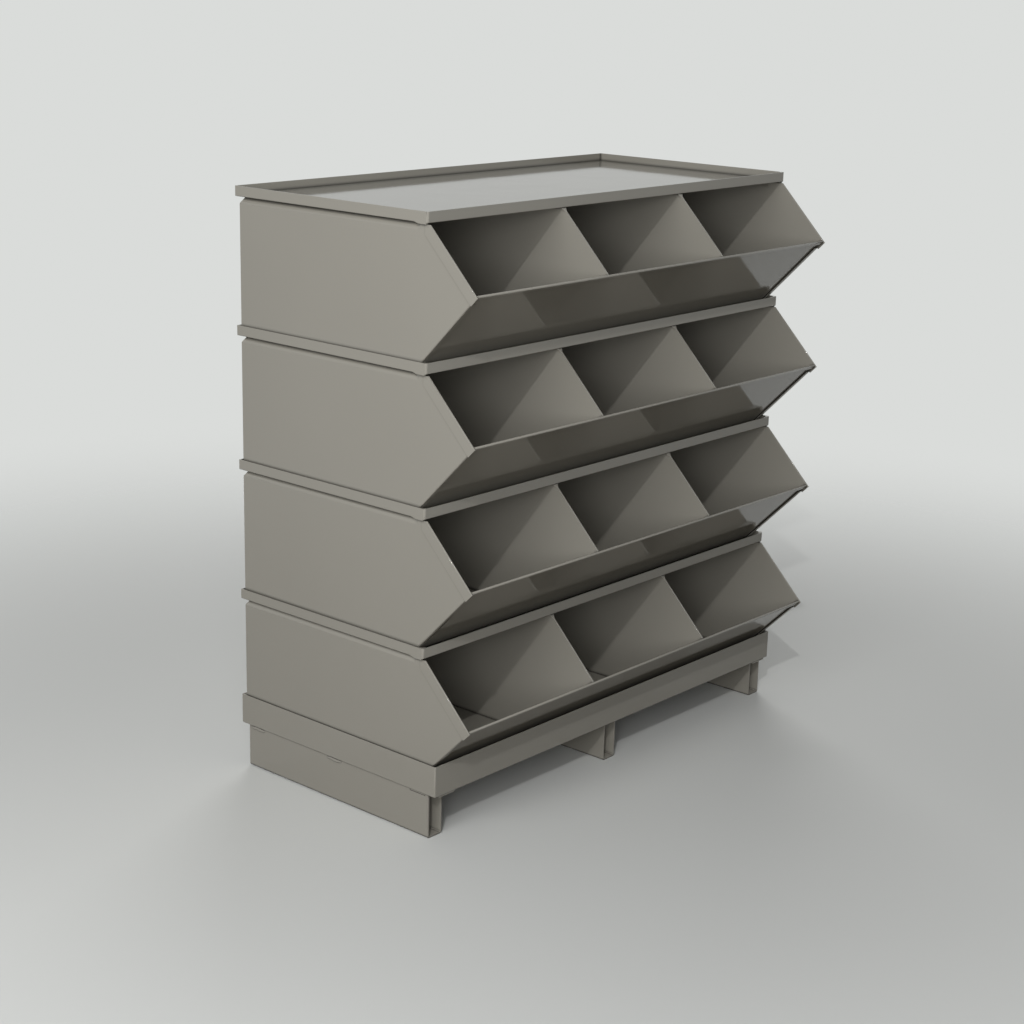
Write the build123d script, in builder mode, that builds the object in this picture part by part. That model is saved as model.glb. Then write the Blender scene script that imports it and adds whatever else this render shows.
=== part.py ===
from build123d import *
from math import hypot
import os

# Stack of hopper-front storage bins of folded sheet steel, in a tray on three skids, with a loose cover.
# Millimetres, +Z up, the open fronts face -Y, origin on the floor under the middle of the whole stack.

os.makedirs("parts", exist_ok=True)

# Driving dimensions of one bin
tiers = 4
compartments = 3
bin_width = 940.0  # across the stacking rim
bin_depth = 432.0  # stacking rim, front to back
tier_pitch = 228.6  # one rim to the next
sheet = 1.5

# Stacking rim: a lip on a ledge, above a joggle that sets the wall in
rim_height = 17.2
rim_proud = 5.0  # lip beyond the wall
joggle_depth = 7.4
joggle_height = 11.1
joggle_radius = 4.0
neck_radius = 1.0
fold_radius = 1.5
joggle_start_depth = 0.3  # where the joggle runs out into the flat front strip
joggle_run_out = 9.0
corner_size = 10.5  # legs of the dressed weld in a front corner
corner_radius = 3.5

# Hopper front
nose_reach = 97.6  # where the two slanted edges meet, in front of the rim
nose_drop = 116.3  # the same point, below the rim's top edge
brow_drop = 18.0  # start of the upper slanted edge below the rim's top edge
heel_setback = 28.6  # floor's front bend behind the rim's front
heel_radius = 4.0
lip_leg = 6.0  # outer leg of the folded lip
lip_gap = 1.2  # between the lip's leg and the panel

# Side sheet edges
hem_width = 18.0
hem_tab = 2.0  # end of the hem, beyond the lower slanted edge
hem_edge_radius = 1.2
hem_strip = 8.5  # hem beside the opening, under the lip
strip_width = 20.0  # flat strip in front of the joggle
strip_dip = 2.5  # lip is this much taller over the strip
side_flange = 9.0  # flange turned in under the hopper front
side_flange_radius = 2.2
side_flange_land = 5.0
panel_end_gap = 0.3  # hopper sheet to the side walls
wall_stub = 5.0  # wall carried below the joggle in one piece with the rim

# Front rail and dividers
rail_ledge = 45.0
rail_end_gap = 0.3
divider_setback = 0.8  # divider's front edge behind the sides' slanting edge
divider_hem = 12.0
divider_wing_width = 4.0  # flare to each side, under the rail
divider_wing_drop = 8.0
divider_corner_cut = 2.0
divider_back_gap = 2.0

edge_tolerance = 0.01

# Tray, skids, corner plates and cover
tray_sheet = 2.0
tray_height = 53.0
tray_side_gap = 1.3  # tray wall to the lowest bin's side
tray_front_reach = 28.5  # tray beyond the rim's front
tray_back_reach = 4.2  # tray beyond the rim's back
tray_fold_radius = 2.2
tray_corner_radius = 2.0
skid_height = 76.2
skid_width = 32.0
skid_sheet = 3.0
skid_fold_radius = 4.5
skid_inset = 2.2  # outer skid's face inside the tray's side
skid_front_setback = 16.6  # from the tray's front face
skid_back_setback = 16.9  # from the tray's back face
corner_plate_thickness = 2.5
corner_plate_width = 45.0
corner_plate_end = 57.0  # its back end behind the tray's front face
corner_plate_setback = 1.0  # behind the tray's front face
corner_plate_tongue = 24.0  # start of the tongue let into the skid, behind the tray's front face
corner_plate_clip = 9.0  # clipped front corner, across
corner_plate_slot_gap = 0.7  # around the tongue
cover_thickness = 2.0
cover_gap = 2.0
cover_corner_gap = 1.4  # to the dressed front corners

# Places worked out from them
lip_radius = sheet + lip_gap / 2
panel_setback = sheet + lip_gap  # hopper panel behind the side's lower edge
nest_depth = rim_height - sheet
bin_height = tier_pitch + nest_depth
rim_half = bin_width / 2
wall_half = rim_half - rim_proud
wall_inner = wall_half - sheet
joggle_foot = rim_height + joggle_height
joggle_slope_length = hypot(joggle_depth, joggle_height)
neck_inset = joggle_depth + sheet * joggle_slope_length / joggle_height
strip_rim_height = rim_height + strip_dip
compartment_width = 2 * wall_half / compartments
front_reach = bin_depth / 2 + nose_reach + hem_tab * nose_reach / hypot(nose_reach, nose_drop - brow_drop)
back_reach = bin_depth / 2 + tray_back_reach
rim_centre_y = (front_reach - back_reach) / 2
rim_front = rim_centre_y - bin_depth / 2
rim_back = rim_centre_y + bin_depth / 2
back_inner = rim_back - rim_proud - sheet
nose_y = rim_front - nose_reach
heel_y = rim_front + heel_setback
tray_half = wall_half + tray_side_gap + tray_sheet
tray_front = rim_front - tray_front_reach
tray_depth = tray_front_reach + bin_depth + tray_back_reach
tray_centre_y = tray_front + tray_depth / 2
tray_floor = skid_height + tray_sheet
skid_face_x = -tray_half + skid_inset
skid_front = tray_front + skid_front_setback
skid_back = tray_front + tray_depth - skid_back_setback
lowest_rim_top = tray_floor + bin_height
stack_top = lowest_rim_top + (tiers - 1) * tier_pitch

# The lower slanted edge runs from the nose down to the heel
slant_rise = bin_height - nose_drop
slant_run = heel_y - nose_y
slant_length = hypot(slant_run, slant_rise)
slant_y = slant_run / slant_length
slant_z = -slant_rise / slant_length

# The upper slanted edge runs from the nose up to the brow under the rail
brow_rise = nose_drop - brow_drop
brow_length = hypot(nose_reach, brow_rise)
brow_y = nose_reach / brow_length
brow_z = brow_rise / brow_length
nose_sine = brow_z * slant_y - brow_y * slant_z
nose_cosine = -brow_z * slant_z - brow_y * slant_y


def slant_point(rim_top, along, inward):
    """Point in the YZ plane, along the lower slant from the nose and inward from its edge."""
    y = nose_y + along * slant_y - inward * slant_z
    z = rim_top - nose_drop + along * slant_z + inward * slant_y
    return (y, z)


def slant_point_at_height(rim_top, inward, height):
    """Point on a line parallel to the lower slant, at a height above the bin's underside."""
    level = rim_top - bin_height + height
    along = (level - (rim_top - nose_drop) - inward * slant_y) / slant_z
    return slant_point(rim_top, along, inward)


def brow_point(rim_top, along, inward):
    """Point in the YZ plane, along the upper slant from the brow down to the nose."""
    y = rim_front - along * brow_y + inward * brow_z
    z = rim_top - brow_drop - along * brow_z - inward * brow_y
    return (y, z)


def brow_point_at_depth(rim_top, inward, y):
    """Point on a line parallel to the upper slant, at a depth Y."""
    along = (rim_front + inward * brow_z - y) / brow_y
    return brow_point(rim_top, along, inward)


def on_brow(rim_top, edge):
    """Whether an edge lies on the line of the upper slant."""
    ends = (edge @ 0, edge @ 1)
    return all(
        abs((end.Y - rim_front) * brow_z - (end.Z - rim_top + brow_drop) * brow_y) < edge_tolerance
        for end in ends
    )


def brow_point_at_height(rim_top, inward, drop):
    """Point on a line parallel to the upper slant, at a drop below the rim's top edge."""
    along = (drop - brow_drop - inward * brow_y) / brow_z
    return brow_point(rim_top, along, inward)


def nose_point(rim_top, brow_inward, slant_inward):
    """Point by its distances inward from the two slanted edges."""
    along = (brow_inward - slant_inward * nose_cosine) / nose_sine
    return slant_point(rim_top, along, slant_inward)


def corner_block(rim_top, height):
    """Dressed weld that closes the front left corner of the lip, with a rounded upright edge and foot."""
    corner = (-rim_half, rim_front, rim_top - height)
    with BuildPart() as block:
        with BuildSketch(Plane.XY.offset(rim_top - height)):
            with BuildLine():
                Polyline(
                    (-rim_half, rim_front),
                    (-rim_half + corner_size, rim_front),
                    (-rim_half + corner_size, rim_front + sheet),
                    (-rim_half + sheet, rim_front + corner_size),
                    (-rim_half, rim_front + corner_size),
                    close=True,
                )
            make_face()
        extrude(amount=height)
        fillet(block.edges().filter_by(Axis.Z).sort_by_distance(corner)[0], corner_radius)
        # a taller block slopes up to the height of the rail at its front
        if height > rim_height:
            with BuildSketch(Plane.YZ.offset(-rim_half)):
                with BuildLine():
                    Polyline(
                        (rim_front, rim_top - rim_height),
                        (rim_front + corner_size, rim_top - height),
                        (rim_front, rim_top - height),
                        close=True,
                    )
                make_face()
            extrude(amount=corner_size, mode=Mode.SUBTRACT)
        foot_face = block.faces().sort_by(Axis.Z)[0]
        fillet(foot_face.edges().sort_by_distance(corner)[:3], fold_radius)
    return block.part


def mitre_cutter(bottom, top, corner_y, into, side_piece):
    """Wedge beyond the 45 degree mitre at a left corner, for the side piece or for its neighbour."""
    reach = rim_proud + neck_inset
    tip = (-rim_half, corner_y)
    inner = (-rim_half + reach, corner_y + into * reach)
    if side_piece:
        far = [(-rim_half + reach, corner_y - into * sheet), (-rim_half, corner_y - into * sheet)]
    else:
        outside = -rim_half - sheet
        back = corner_y + into * (reach + sheet)
        far = [(-rim_half + reach, back), (outside, back), (outside, corner_y)]
    with BuildPart() as cutter:
        with BuildSketch(Plane.XY.offset(bottom)):
            with BuildLine():
                Polyline(tip, inner, *far, close=True)
            make_face()
        extrude(amount=top - bottom)
    return cutter.part


def rail_end_cutter(bottom, top):
    """What the left side sheet takes from the front rail: the mitre, the strip and the joggle behind it."""
    strip_inner = -wall_half + joggle_start_depth + sheet + rail_end_gap
    neck_inner = -wall_half + neck_inset + rail_end_gap
    back = rim_front + rail_ledge + sheet
    outside = -rim_half - sheet
    with BuildPart() as cutter:
        with BuildSketch(Plane.XY.offset(bottom)):
            with BuildLine():
                Polyline(
                    (-rim_half, rim_front),
                    (strip_inner, rim_front + strip_inner + rim_half),
                    (strip_inner, rim_front + strip_width),
                    (neck_inner, rim_front + strip_width + joggle_run_out),
                    (neck_inner, back),
                    (outside, back),
                    (outside, rim_front),
                    close=True,
                )
            make_face()
        extrude(amount=top - bottom)
    return cutter.part


def rim_section(rim_top, foot, depth, height, y):
    """Folded section of wall, joggle, ledge and lip of a given height at the left side, at a depth Y."""
    with BuildSketch(Plane.XZ.offset(-y)) as section:
        with BuildLine():
            FilletPolyline(
                (-wall_half, foot),
                (-wall_half, rim_top - joggle_foot),
                (-wall_half + depth, rim_top - height),
                (-rim_half, rim_top - height),
                (-rim_half, rim_top),
                radius=[joggle_radius, neck_radius, fold_radius],
            )
            offset(amount=sheet, side=Side.RIGHT)
        make_face()
    return section.sketch


def make_left_side(rim_top):
    """Side sheet: stacking rim on top, hem turned out along the slanting edge, flange turned in below."""
    underside = rim_top - bin_height
    seam = rim_top - joggle_foot - wall_stub
    lip_foot = rim_top - strip_rim_height
    joggle_begins = rim_front + strip_width
    joggle_full = joggle_begins + joggle_run_out
    front_mitre = mitre_cutter(lip_foot, rim_top + sheet, rim_front, 1, True)
    back_mitre = mitre_cutter(underside - sheet, rim_top + sheet, rim_back, -1, True)
    strip_section = rim_section(
        rim_top, seam, joggle_start_depth, strip_rim_height, rim_front + corner_radius
    )
    run_out_section = rim_section(rim_top, seam, joggle_start_depth, strip_rim_height, joggle_begins)
    full_section = rim_section(rim_top, seam, joggle_depth, rim_height, joggle_full)
    tab_corner = brow_point(rim_top, brow_length + hem_tab / nose_sine, 0)
    tab_end = slant_point(rim_top, hem_width, -hem_tab)
    with BuildPart() as side:
        # flat wall with the pointed nose
        with BuildSketch(Plane.YZ.offset(-wall_half)):
            with BuildLine():
                Polyline(
                    (rim_back, underside),
                    (rim_back, seam),
                    (joggle_begins, seam),
                    (joggle_begins, lip_foot),
                    (rim_front + corner_radius, lip_foot),
                    brow_point(rim_top, 0, 0),
                    tab_corner,
                    tab_end,
                    slant_point(rim_top, hem_width, side_flange_land),
                    slant_point_at_height(rim_top, side_flange_land, 0),
                    close=True,
                )
            make_face()
        extrude(amount=sheet)
        # hem turned out along the slanting front edge
        with BuildSketch(Plane.YZ.offset(-wall_half - sheet)):
            with BuildLine():
                Polyline(
                    (rim_front + hem_strip, lip_foot),
                    (rim_front + corner_radius, lip_foot),
                    brow_point(rim_top, 0, 0),
                    tab_corner,
                    tab_end,
                    slant_point(rim_top, hem_width, 0),
                    brow_point_at_depth(rim_top, hem_width, rim_front + hem_strip),
                    close=True,
                )
            make_face()
        extrude(amount=sheet)
        brow_edges = side.edges().filter_by(lambda edge: on_brow(rim_top, edge))
        fillet(brow_edges.group_by(Axis.X)[0] + brow_edges.group_by(Axis.X)[-1], hem_edge_radius)
        # lip over the flat strip, the joggle running out towards it, and the full rim as far as the back
        extrude(strip_section, amount=corner_radius - strip_width)
        loft([run_out_section, full_section], ruled=True)
        extrude(full_section, amount=joggle_full - rim_back)
        # flange turned in along the lower slant
        flange_top_y, flange_top_z = slant_point(rim_top, hem_width, 0)
        flange_plane = Plane((0, flange_top_y, flange_top_z), x_dir=(1, 0, 0), z_dir=(0, slant_y, slant_z))
        with BuildSketch(flange_plane):
            with BuildLine():
                FilletPolyline(
                    (-wall_half, -side_flange_land),
                    (-wall_half, 0),
                    (-wall_half + side_flange, 0),
                    radius=side_flange_radius,
                )
                offset(amount=sheet, side=Side.RIGHT)
            make_face()
        extrude(amount=slant_length)
        split(bisect_by=Plane.XY.offset(underside), keep=Keep.TOP)
        add(corner_block(rim_top, strip_rim_height))
        add(front_mitre, mode=Mode.SUBTRACT)
        add(back_mitre, mode=Mode.SUBTRACT)
    return side.part


def make_back(rim_top):
    """Back sheet with the same joggled rim, mitred to the sides."""
    underside = rim_top - bin_height
    wall_y = rim_back - rim_proud
    mitre = mitre_cutter(underside - sheet, rim_top + sheet, rim_back, -1, False)
    with BuildPart() as back:
        with BuildSketch(Plane.YZ):
            with BuildLine():
                FilletPolyline(
                    (wall_y, underside),
                    (wall_y, rim_top - joggle_foot),
                    (wall_y - joggle_depth, rim_top - rim_height),
                    (rim_back, rim_top - rim_height),
                    (rim_back, rim_top),
                    radius=[joggle_radius, neck_radius, fold_radius],
                )
                offset(amount=sheet, side=Side.LEFT)
            make_face()
        extrude(amount=rim_half, both=True)
        add(mitre, mode=Mode.SUBTRACT)
        add(mirror(mitre, about=Plane.YZ, mode=Mode.PRIVATE), mode=Mode.SUBTRACT)
    return back.part


def make_hopper(rim_top):
    """Floor and sloping front in one bent sheet, its front edge folded out and down as a lip."""
    underside = rim_top - bin_height
    panel_top = slant_point(rim_top, lip_radius, panel_setback)
    leg_top = slant_point(rim_top, lip_radius, sheet)
    leg_end = slant_point(rim_top, lip_radius + lip_leg, sheet)
    with BuildPart() as hopper:
        with BuildSketch(Plane.YZ):
            with BuildLine():
                FilletPolyline(
                    (back_inner, underside),
                    slant_point_at_height(rim_top, panel_setback, 0),
                    panel_top,
                    radius=heel_radius,
                )
                JernArc(panel_top, (-slant_y, -slant_z), lip_gap / 2, 180)
                Line(leg_top, leg_end)
                offset(amount=sheet, side=Side.RIGHT)
            make_face()
        extrude(amount=wall_inner - panel_end_gap, both=True)
    return hopper.part


def make_front_rail(rim_top):
    """Lip across the top of the opening, with a ledge behind it for the heel of the bin above."""
    ledge_underside = rim_top - rim_height
    block = corner_block(rim_top, rim_height)
    end = rail_end_cutter(ledge_underside - sheet, rim_top + sheet)
    with BuildPart() as rail:
        with BuildSketch(Plane.YZ):
            with BuildLine():
                FilletPolyline(
                    (rim_front + rail_ledge, ledge_underside),
                    (rim_front, ledge_underside),
                    (rim_front, rim_top),
                    radius=fold_radius,
                )
                offset(amount=sheet, side=Side.RIGHT)
            make_face()
        extrude(amount=rim_half - corner_radius, both=True)
        add(block)
        add(mirror(block, about=Plane.YZ, mode=Mode.PRIVATE))
        add(end, mode=Mode.SUBTRACT)
        add(mirror(end, about=Plane.YZ, mode=Mode.PRIVATE), mode=Mode.SUBTRACT)
    return rail.part


def make_divider(rim_top, centre_x):
    """Upright sheet between two compartments, hemmed along its slanting front edge."""
    floor_top = rim_top - bin_height + sheet
    top = rim_top - rim_height
    back_edge = back_inner - divider_back_gap
    neck_edge = back_edge - joggle_depth
    panel_face = panel_setback + sheet
    brow_corner = brow_point_at_height(rim_top, divider_setback, rim_height)
    heel_corner = slant_point_at_height(rim_top, panel_face, sheet)
    heel_side = slant_point_at_height(rim_top, panel_face, sheet + divider_corner_cut)
    hem_inward = divider_setback + divider_hem
    hem_middle = centre_x + sheet / 2
    with BuildPart() as divider:
        with BuildSketch(Plane.YZ.offset(centre_x - sheet / 2)):
            with BuildLine():
                Polyline(
                    (back_edge, floor_top),
                    (back_edge, rim_top - joggle_foot - divider_back_gap),
                    (neck_edge, top),
                    brow_corner,
                    nose_point(rim_top, divider_setback, panel_face),
                    heel_side,
                    (heel_corner[0] + divider_corner_cut, floor_top),
                    close=True,
                )
            make_face()
        extrude(amount=sheet)
        # hem turned to the right behind the front edge
        with BuildSketch(Plane.YZ.offset(centre_x + sheet / 2)):
            with BuildLine():
                Polyline(
                    brow_corner,
                    nose_point(rim_top, divider_setback, panel_face),
                    nose_point(rim_top, hem_inward, panel_face),
                    brow_point_at_height(rim_top, hem_inward, rim_height),
                    close=True,
                )
            make_face()
        extrude(amount=sheet)
        # front edge flared to both sides where it runs up to the rail
        brow_plane = Plane((hem_middle, *brow_corner), x_dir=(1, 0, 0), z_dir=(0, brow_z, -brow_y))
        with BuildSketch(brow_plane):
            with BuildLine():
                Polyline(
                    (-sheet - divider_wing_width, 0),
                    (sheet + divider_wing_width, 0),
                    (sheet, divider_wing_drop),
                    (-sheet, divider_wing_drop),
                    close=True,
                )
            make_face()
        extrude(amount=sheet)
    return divider.part


def make_tray():
    """Shallow pressed tray that the lowest bin stands in."""
    with BuildPart() as tray:
        with BuildSketch(Plane.XY.offset(skid_height)):
            with Locations((0, tray_centre_y)):
                RectangleRounded(2 * tray_half, tray_depth, tray_corner_radius)
        extrude(amount=tray_height)
        fillet(tray.faces().sort_by(Axis.Z)[0].edges(), tray_fold_radius)
        with BuildSketch(Plane.XY.offset(tray_floor)):
            with Locations((0, tray_centre_y)):
                Rectangle(2 * (tray_half - tray_sheet), tray_depth - 2 * tray_sheet)
        extrude(amount=tray_height, mode=Mode.SUBTRACT)
    return tray.part


def make_corner_plate(gap):
    """Small plate under the tray's front left corner, its tongue let into the skid, or its slot with a gap."""
    front = tray_front + corner_plate_setback
    back = tray_front + corner_plate_end + gap
    with BuildPart() as plate:
        with BuildSketch(Plane.XY.offset(skid_height - corner_plate_thickness - gap)):
            with BuildLine():
                Polyline(
                    (skid_face_x, tray_front + corner_plate_tongue - gap),
                    (skid_face_x, back),
                    (skid_face_x + corner_plate_width, back),
                    (skid_face_x + corner_plate_width, front),
                    (skid_face_x + corner_plate_clip, front),
                    close=True,
                )
            make_face()
        extrude(amount=corner_plate_thickness + gap)
    return plate.part


def make_skid(outer_x, cutters):
    """Front-to-back channel, open upward and at both ends, with its left face at outer_x."""
    with BuildPart() as skid:
        with BuildSketch(Plane.XZ.offset(-skid_front)):
            with BuildLine():
                FilletPolyline(
                    (outer_x, skid_height),
                    (outer_x, 0),
                    (outer_x + skid_width, 0),
                    (outer_x + skid_width, skid_height),
                    radius=skid_fold_radius,
                )
                offset(amount=skid_sheet, side=Side.LEFT)
            make_face()
        extrude(amount=-(skid_back - skid_front))
        for cutter in cutters:
            add(cutter, mode=Mode.SUBTRACT)
    return skid.part


def make_cover():
    """Flat plate lying on the ledge inside the top bin's rim, its front corners clipped."""
    corner_clip = corner_size + sheet - 2 * (sheet + cover_gap) + cover_corner_gap
    width = bin_width - 2 * (sheet + cover_gap)
    depth = bin_depth - 2 * (sheet + cover_gap)
    with BuildPart() as cover:
        with BuildSketch(Plane.XY.offset(stack_top - nest_depth)) as outline:
            with Locations((0, rim_centre_y)):
                Rectangle(width, depth)
            chamfer(outline.vertices().group_by(Axis.Y)[0], corner_clip)
        extrude(amount=cover_thickness)
    return cover.part


def keep(part, name):
    """Name a finished piece and write it."""
    part.label = name
    export_step(part, f"parts/{name}.step")


# Base: tray, corner plates and three skids
corner_plate = make_corner_plate(0)
corner_plate_slot = make_corner_plate(corner_plate_slot_gap)
corner_plate_mirrored = mirror(corner_plate, about=Plane.YZ)
skid_left = make_skid(skid_face_x, [corner_plate_slot])
keep(make_tray(), "base_tray")
keep(corner_plate, "corner_plate_left")
keep(corner_plate_mirrored, "corner_plate_right")
keep(skid_left, "skid_left")
keep(make_skid(-skid_width / 2, []), "skid_middle")
keep(mirror(skid_left, about=Plane.YZ), "skid_right")

# Bins, all alike, counted from the top
left_side = make_left_side(stack_top)
bin_pieces = {
    "left_side": left_side,
    "right_side": mirror(left_side, about=Plane.YZ),
    "back": make_back(stack_top),
    "hopper": make_hopper(stack_top),
    "front_rail": make_front_rail(stack_top),
    "divider_left": make_divider(stack_top, -compartment_width / 2),
    "divider_right": make_divider(stack_top, compartment_width / 2),
}
for number in range(1, tiers + 1):
    below_top = Location((0, 0, -(number - 1) * tier_pitch))
    for piece_name, piece in bin_pieces.items():
        keep(piece.moved(below_top), f"bin_{number}_{piece_name}")

# Cover
keep(make_cover(), "cover_plate")
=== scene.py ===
from math import cos, pi, radians, sin

import bpy
from mathutils import Matrix, Vector


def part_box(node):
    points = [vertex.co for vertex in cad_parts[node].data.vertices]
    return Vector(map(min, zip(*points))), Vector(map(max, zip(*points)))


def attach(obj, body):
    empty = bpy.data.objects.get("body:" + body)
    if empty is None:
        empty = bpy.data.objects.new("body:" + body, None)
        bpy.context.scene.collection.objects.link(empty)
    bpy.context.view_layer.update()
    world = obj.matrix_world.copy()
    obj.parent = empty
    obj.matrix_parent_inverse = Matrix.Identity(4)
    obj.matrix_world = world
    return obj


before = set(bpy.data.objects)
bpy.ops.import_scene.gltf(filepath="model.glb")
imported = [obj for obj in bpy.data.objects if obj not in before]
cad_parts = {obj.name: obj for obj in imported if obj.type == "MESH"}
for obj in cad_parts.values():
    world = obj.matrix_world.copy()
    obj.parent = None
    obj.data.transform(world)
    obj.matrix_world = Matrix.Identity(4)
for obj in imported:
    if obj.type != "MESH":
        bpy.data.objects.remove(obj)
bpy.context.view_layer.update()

# Camera
# It stands to the left of the stack at chest height and looks down a little on its open fronts, turned
# about one degree round its own axis.
camera_place = Vector((-2.5662, -2.1759, 1.3679))
camera_yaw = radians(48.909)
camera_pitch = radians(-15.744)
camera_roll = radians(1.376)
sensor_width = 36.0
lens_length = 68.69
nearest_seen = 0.05
farthest_seen = 60.0

camera_data = bpy.data.cameras.new("camera")
camera_data.sensor_width = sensor_width
camera_data.lens = lens_length
camera_data.clip_start = nearest_seen
camera_data.clip_end = farthest_seen
forward = Vector(
    (
        sin(camera_yaw) * cos(camera_pitch),
        cos(camera_yaw) * cos(camera_pitch),
        sin(camera_pitch),
    )
)
level_right = Vector((cos(camera_yaw), -sin(camera_yaw), 0.0))
level_up = level_right.cross(forward)
right = level_right * cos(camera_roll) + level_up * sin(camera_roll)
up = level_up * cos(camera_roll) - level_right * sin(camera_roll)
camera_turn = Matrix((right, up, -forward)).transposed().to_4x4()
camera = bpy.data.objects.new("camera", camera_data)
camera.matrix_world = Matrix.Translation(camera_place) @ camera_turn
bpy.context.scene.collection.objects.link(camera)
bpy.context.scene.camera = camera
bpy.context.scene.view_settings.view_transform = "Standard"

# Floor
# A plain pale floor that fades into an equally pale backdrop. Looked at, or seen in the enamel, it is pale
# and keeps the stack's shadow; the light that it throws up under the bins is that of a darker floor.
floor_radius = 9.0
floor_fade_start = 0.8
floor_fade_end = 2.6
floor_pale = (0.72, 0.73, 0.71)
floor_bounce = (0.13, 0.115, 0.088)
floor_sides = 96
mix_from, mix_to, mix_out = 6, 7, 2  # a Mix node's sockets for colours


def where_looked_at(nodes, links):
    """1 where a thing is looked at, straight, mirrored or through glass, and 0 where it only throws light."""
    ray = nodes.new("ShaderNodeLightPath")
    looked_at = nodes.new("ShaderNodeMath")
    looked_at.operation = "MAXIMUM"
    links.new(ray.outputs["Is Camera Ray"], looked_at.inputs[0])
    links.new(ray.outputs["Is Glossy Ray"], looked_at.inputs[1])
    looked_through = nodes.new("ShaderNodeMath")
    looked_through.operation = "MAXIMUM"
    links.new(looked_at.outputs["Value"], looked_through.inputs[0])
    links.new(ray.outputs["Is Transmission Ray"], looked_through.inputs[1])
    return looked_through.outputs["Value"]


floor_rim = []
for side in range(floor_sides):
    bearing = radians(360.0 * side / floor_sides)
    floor_rim.append((floor_radius * cos(bearing), floor_radius * sin(bearing), 0.0))
floor_mesh = bpy.data.meshes.new("floor")
floor_mesh.from_pydata(floor_rim, [], [tuple(range(floor_sides))])
floor = bpy.data.objects.new("floor", floor_mesh)
bpy.context.scene.collection.objects.link(floor)
floor_paint = bpy.data.materials.new("floor_paint")
floor_paint.use_nodes = True
nodes = floor_paint.node_tree.nodes
links = floor_paint.node_tree.links
nodes.remove(nodes["Principled BSDF"])
floor_seen = where_looked_at(nodes, links)
shade = nodes.new("ShaderNodeMix")
shade.data_type = "RGBA"
shade.inputs[mix_from].default_value = (*floor_bounce, 1.0)
shade.inputs[mix_to].default_value = (*floor_pale, 1.0)
links.new(floor_seen, shade.inputs["Factor"])
matt = nodes.new("ShaderNodeBsdfDiffuse")
links.new(shade.outputs[mix_out], matt.inputs["Color"])
clear = nodes.new("ShaderNodeBsdfTransparent")
place = nodes.new("ShaderNodeNewGeometry")
reach = nodes.new("ShaderNodeVectorMath")
reach.operation = "LENGTH"
links.new(place.outputs["Position"], reach.inputs[0])
fade = nodes.new("ShaderNodeMapRange")
fade.interpolation_type = "SMOOTHSTEP"
fade.inputs["From Min"].default_value = floor_fade_start
fade.inputs["From Max"].default_value = floor_fade_end
links.new(reach.outputs["Value"], fade.inputs["Value"])
gone = nodes.new("ShaderNodeMath")
gone.operation = "MULTIPLY"
links.new(fade.outputs["Result"], gone.inputs[0])
links.new(floor_seen, gone.inputs[1])
blend = nodes.new("ShaderNodeMixShader")
links.new(gone.outputs["Value"], blend.inputs["Fac"])
links.new(matt.outputs["BSDF"], blend.inputs[1])
links.new(clear.outputs["BSDF"], blend.inputs[2])
links.new(blend.outputs["Shader"], nodes["Material Output"].inputs["Surface"])
floor_mesh.materials.append(floor_paint)

# Light
# A small far lamp high on the left draws the shadow of each rail down the dividers. Soft lamps at the left,
# off the left front corner and off the right back one light the rest, with a faint glow from all round.
lamp_aim = Vector((0.0, 0.0, 0.7))
key_place = Vector((-6.2, -4.3, 6.0))
key_size = 0.16
key_power = 148.0
soft_place = Vector((-2.6, -0.85, 1.75))
soft_size = 2.0
soft_power = 39.0
front_place = Vector((-3.3, -2.7, 1.5))
front_size = 1.3
front_power = 39.0
back_place = Vector((2.7, 2.3, 2.1))
back_size = 2.0
back_power = 60.0
glow_colour = (0.97, 0.985, 1.0)
glow_level = 0.15
backdrop_colour = (0.70, 0.715, 0.70)
backdrop_level = 1.0

for name, spot, size, power, mirrored in (
    ("key_lamp", key_place, key_size, key_power, True),
    ("soft_lamp", soft_place, soft_size, soft_power, False),
    ("front_lamp", front_place, front_size, front_power, False),
    ("back_lamp", back_place, back_size, back_power, False),
):
    lamp_data = bpy.data.lights.new(name, "AREA")
    lamp_data.shape = "SQUARE"
    lamp_data.size = size
    lamp_data.energy = power
    lamp = bpy.data.objects.new(name, lamp_data)
    turn = (lamp_aim - spot).to_track_quat("-Z", "Y")
    lamp.matrix_world = Matrix.Translation(spot) @ turn.to_matrix().to_4x4()
    lamp.visible_camera = False
    lamp.visible_glossy = mirrored
    bpy.context.scene.collection.objects.link(lamp)

world = bpy.data.worlds.new("surround")
bpy.context.scene.world = world
world.use_nodes = True
nodes = world.node_tree.nodes
links = world.node_tree.links
glow = nodes["Background"]
glow.inputs["Color"].default_value = (*glow_colour, 1.0)
glow.inputs["Strength"].default_value = glow_level
backdrop = nodes.new("ShaderNodeBackground")
backdrop.inputs["Color"].default_value = (*backdrop_colour, 1.0)
backdrop.inputs["Strength"].default_value = backdrop_level
choose = nodes.new("ShaderNodeMixShader")
links.new(where_looked_at(nodes, links), choose.inputs["Fac"])
links.new(glow.outputs["Background"], choose.inputs[1])
links.new(backdrop.outputs["Background"], choose.inputs[2])
links.new(choose.outputs["Shader"], nodes["World Output"].inputs["Surface"])

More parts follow.
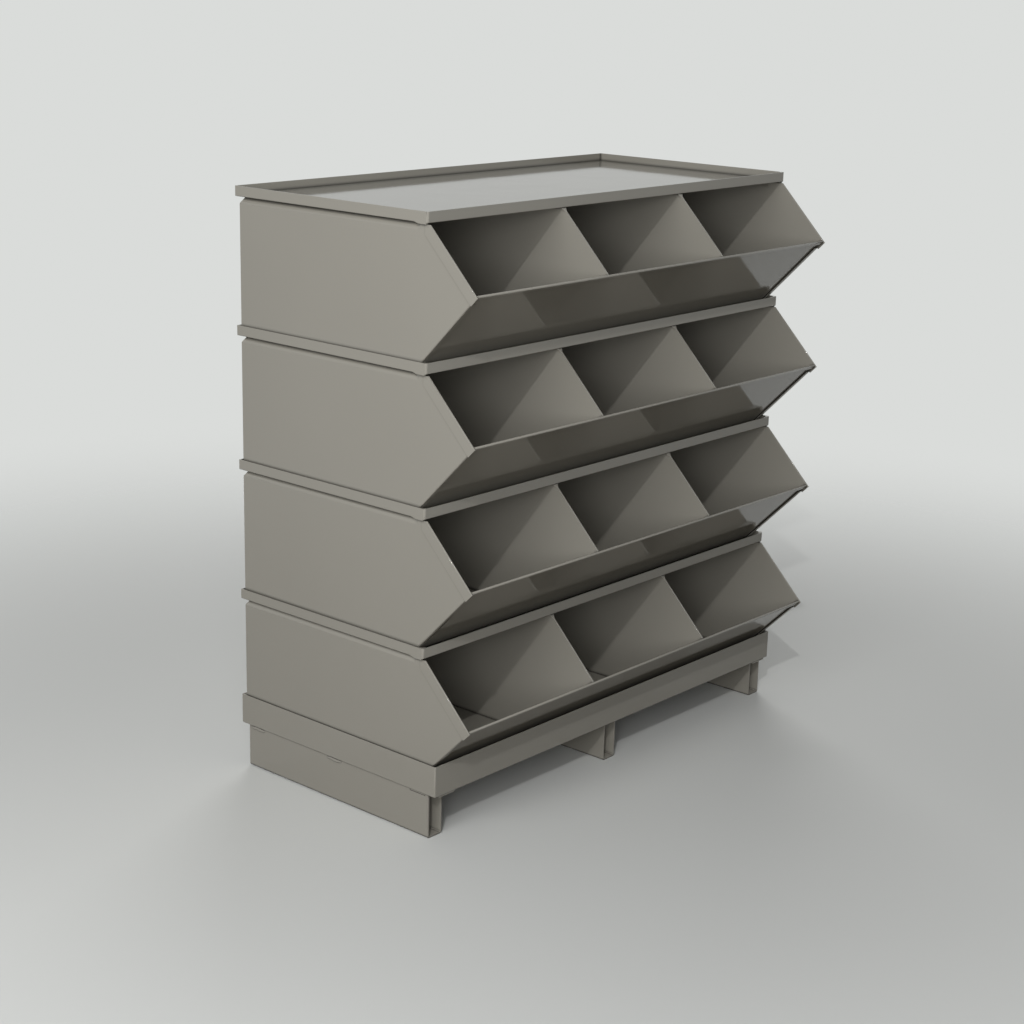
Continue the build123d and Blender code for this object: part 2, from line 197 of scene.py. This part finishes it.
# Tray
# The lowest bin stands in a shallow tray folded from 2 mm sheet steel, with a soft bend round its foot.
# Like the whole stack it is sprayed and baked in a warm grey gloss enamel.
enamel_grey = (0.318, 0.303, 0.264)
enamel_bends_light = 1.5
ripple_detail = 1.0
peel_scale = 240.0
peel_height = 0.0002
peel_strength = 0.05
wave_scale = 9.0
wave_height = 0.002
wave_strength = 0.12
cloud_scale = 3.0
cloud_detail = 3.0
cloud_darkest = 0.96
cloud_lightest = 1.04
# Painted shade in the creases: how far the enamel looks for nearby sheet, and how dark it is painted there.
crease_reach = 0.006
crease_samples = 8
crease_closed = 0.45
crease_open = 0.95
painted_shade_tone = 0.22
base_gloss = 0.12
cut_edge = 0.0004
cut_edge_steps = 2
cut_edge_angle = radians(40)
same_point = 0.00001


def baked_enamel(name, grey, gloss):
    """Baked gloss enamel: uneven in tone, finely rippled, with painted shade darkening the creases between
    sheets.
    """
    paint = bpy.data.materials.new(name)
    paint.use_nodes = True
    nodes = paint.node_tree.nodes
    links = paint.node_tree.links
    shader = nodes["Principled BSDF"]
    shader.inputs["Roughness"].default_value = gloss
    shader.inputs["IOR"].default_value = enamel_bends_light
    place = nodes.new("ShaderNodeTexCoord")
    peel = nodes.new("ShaderNodeTexNoise")
    peel.inputs["Scale"].default_value = peel_scale
    peel.inputs["Detail"].default_value = ripple_detail
    links.new(place.outputs["Object"], peel.inputs["Vector"])
    wave = nodes.new("ShaderNodeTexNoise")
    wave.inputs["Scale"].default_value = wave_scale
    wave.inputs["Detail"].default_value = ripple_detail
    links.new(place.outputs["Object"], wave.inputs["Vector"])
    fine = nodes.new("ShaderNodeBump")
    fine.inputs["Strength"].default_value = peel_strength
    fine.inputs["Distance"].default_value = peel_height
    links.new(peel.outputs["Fac"], fine.inputs["Height"])
    slow = nodes.new("ShaderNodeBump")
    slow.inputs["Strength"].default_value = wave_strength
    slow.inputs["Distance"].default_value = wave_height
    links.new(wave.outputs["Fac"], slow.inputs["Height"])
    links.new(fine.outputs["Normal"], slow.inputs["Normal"])
    links.new(slow.outputs["Normal"], shader.inputs["Normal"])
    cloud = nodes.new("ShaderNodeTexNoise")
    cloud.inputs["Scale"].default_value = cloud_scale
    cloud.inputs["Detail"].default_value = cloud_detail
    links.new(place.outputs["Object"], cloud.inputs["Vector"])
    tone = nodes.new("ShaderNodeMix")
    tone.data_type = "RGBA"
    tone.inputs[mix_from].default_value = (*(c * cloud_darkest for c in grey), 1.0)
    tone.inputs[mix_to].default_value = (*(c * cloud_lightest for c in grey), 1.0)
    links.new(cloud.outputs["Fac"], tone.inputs["Factor"])
    # Painted shade: where other sheet stands within a few millimetres, the base colour is darkened towards a
    # fifth of the grey.
    crease = nodes.new("ShaderNodeAmbientOcclusion")
    crease.samples = crease_samples
    crease.inputs["Distance"].default_value = crease_reach
    shut = nodes.new("ShaderNodeMapRange")
    shut.inputs["From Min"].default_value = crease_closed
    shut.inputs["From Max"].default_value = crease_open
    links.new(crease.outputs["AO"], shut.inputs["Value"])
    painted_crease_shade = nodes.new("ShaderNodeMix")
    painted_crease_shade.data_type = "RGBA"
    painted_crease_shade.inputs[mix_from].default_value = (*(c * painted_shade_tone for c in grey), 1.0)
    links.new(shut.outputs["Result"], painted_crease_shade.inputs["Factor"])
    links.new(tone.outputs[mix_out], painted_crease_shade.inputs[mix_to])
    links.new(painted_crease_shade.outputs[mix_out], shader.inputs["Base Color"])
    return paint


def finish_sheet(name, paint):
    """Paint a sheet and ease its cut edges, as the enamel rounds them."""
    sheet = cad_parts[name]
    sheet.data.materials.clear()
    sheet.data.materials.append(paint)
    joined = sheet.modifiers.new("weld", "WELD")
    joined.merge_threshold = same_point
    eased = sheet.modifiers.new("eased_edges", "BEVEL")
    eased.width = cut_edge
    eased.segments = cut_edge_steps
    eased.limit_method = "ANGLE"
    eased.angle_limit = cut_edge_angle
    eased.harden_normals = True


base_enamel = baked_enamel("base_enamel", enamel_grey, base_gloss)
finish_sheet("base_tray", base_enamel)

# Skids
# Three channels folded from 3 mm plate run from front to back under the tray, open at both ends, and lift
# the stack clear of the floor for a fork or a hand.
for name in ("skid_left", "skid_middle", "skid_right"):
    finish_sheet(name, base_enamel)

# Skid welds
# Short runs of weld in the corner between the tray's underside and the skids hold the base together.
# They were laid before enamelling, so the enamel covers their ripples.
weld_places = (0.0375, 0.2285)
weld_run = 0.036
weld_leg = 0.0058
weld_proud = 0.0023
weld_sink = 0.0004
weld_start_skew = 0.9
weld_end_bluntness = 0.35
weld_ripples = 12
weld_ripple_swell = 0.16
weld_wander = 0.0003
weld_wander_turn = 9.0
weld_wander_start = 40.0
weld_steps = 72
weld_arc = 10


def lay_weld(name, face_x, outward, run_centre, joint_height):
    """One run of weld against the face of a skid, rippled along its length and tapering at both ends."""
    points = []
    faces = []
    for step in range(weld_steps + 1):
        along = step / weld_steps
        taper = 0.0
        if 0.0 < along < 1.0:
            taper = sin(pi * along**weld_start_skew) ** weld_end_bluntness
        ripple = 1.0 + weld_ripple_swell * abs(sin(pi * weld_ripples * along))
        wander = weld_wander * sin(weld_wander_turn * along + run_centre * weld_wander_start)
        for turn in range(weld_arc + 1):
            angle = pi * turn / weld_arc
            out = weld_proud * taper * ripple * sin(angle) - weld_sink
            rise = -0.5 * weld_leg + wander - 0.5 * weld_leg * taper * ripple * cos(angle)
            x = face_x + outward * out
            y = run_centre + weld_run * (along - 0.5)
            points.append((x, y, joint_height + min(rise, 0.0)))
    row = weld_arc + 1
    for step in range(weld_steps):
        for turn in range(weld_arc):
            corner = step * row + turn
            ring = (corner, corner + 1, corner + row + 1, corner + row)
            faces.append(ring if outward < 0 else ring[::-1])
    mesh = bpy.data.meshes.new(name)
    mesh.from_pydata(points, [], faces)
    for face in mesh.polygons:
        face.use_smooth = True
    bead = bpy.data.objects.new(name, mesh)
    bpy.context.scene.collection.objects.link(bead)
    mesh.materials.append(base_enamel)
    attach(bead, "base")


for skid in ("left", "middle", "right"):
    low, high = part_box(f"skid_{skid}")
    for side, face_x, outward in (("near", low[0], -1.0), ("far", high[0], 1.0)):
        for number, centre in enumerate(weld_places, 1):
            lay_weld(f"skid_{skid}_weld_{side}_{number}", face_x, outward, centre, high[2])

# Corner plates
# A small flat plate of 2.5 mm steel stiffens the tray from below at each front corner, its tongue let into
# the skid's side.
for name in ("corner_plate_left", "corner_plate_right"):
    finish_sheet(name, base_enamel)

# Bin sides
# The left and right sheets of each bin, 1.5 mm steel, carry the ends of the stacking rim. Their tops are
# joggled outward into a square band, and their slanting front edges hemmed outward, safe to the hand.
bin_gloss = 0.09
bin_numbers = (1, 2, 3, 4)
bin_enamel = baked_enamel("bin_enamel", enamel_grey, bin_gloss)
for number in bin_numbers:
    finish_sheet(f"bin_{number}_left_side", bin_enamel)
    finish_sheet(f"bin_{number}_right_side", bin_enamel)

# Bin backs
# A plain sheet closes each bin behind, with the same joggled band along its top, mitred to the sides.
for number in bin_numbers:
    finish_sheet(f"bin_{number}_back", bin_enamel)

# Hopper sheets
# The floor of each bin bends up at its heel into the sloping lower front, and ends at the nose in a lip that
# is folded back to make the edge which the hand passes over.
for number in bin_numbers:
    finish_sheet(f"bin_{number}_hopper", bin_enamel)

# Front rails
# A folded strip ties the two sides together over the opening and closes the stacking rim in front, with a
# ledge behind it.
for number in bin_numbers:
    finish_sheet(f"bin_{number}_front_rail", bin_enamel)

# Dividers
# Two sheets split each bin into three compartments. Their slanting front edges are hemmed, and flare a little
# to both sides where they are tacked under the rail.
for number in bin_numbers:
    finish_sheet(f"bin_{number}_divider_left", bin_enamel)
    finish_sheet(f"bin_{number}_divider_right", bin_enamel)

# Cover plate
# A loose flat plate of 2 mm steel closes the rim of the top bin, where it rests on the ledge. Its enamel is a
# little smoother than that of the bins, and its grey is painted a tenth darker as painted shade on its top.
cover_gloss = 0.08
# Painted shade: the cover's grey is dimmed by a tenth to darken its lit top.
cover_painted_shade = 0.9
cover_shaded_grey = tuple(cover_painted_shade * c for c in enamel_grey)
cover_enamel = baked_enamel("cover_enamel", cover_shaded_grey, cover_gloss)
finish_sheet("cover_plate", cover_enamel)
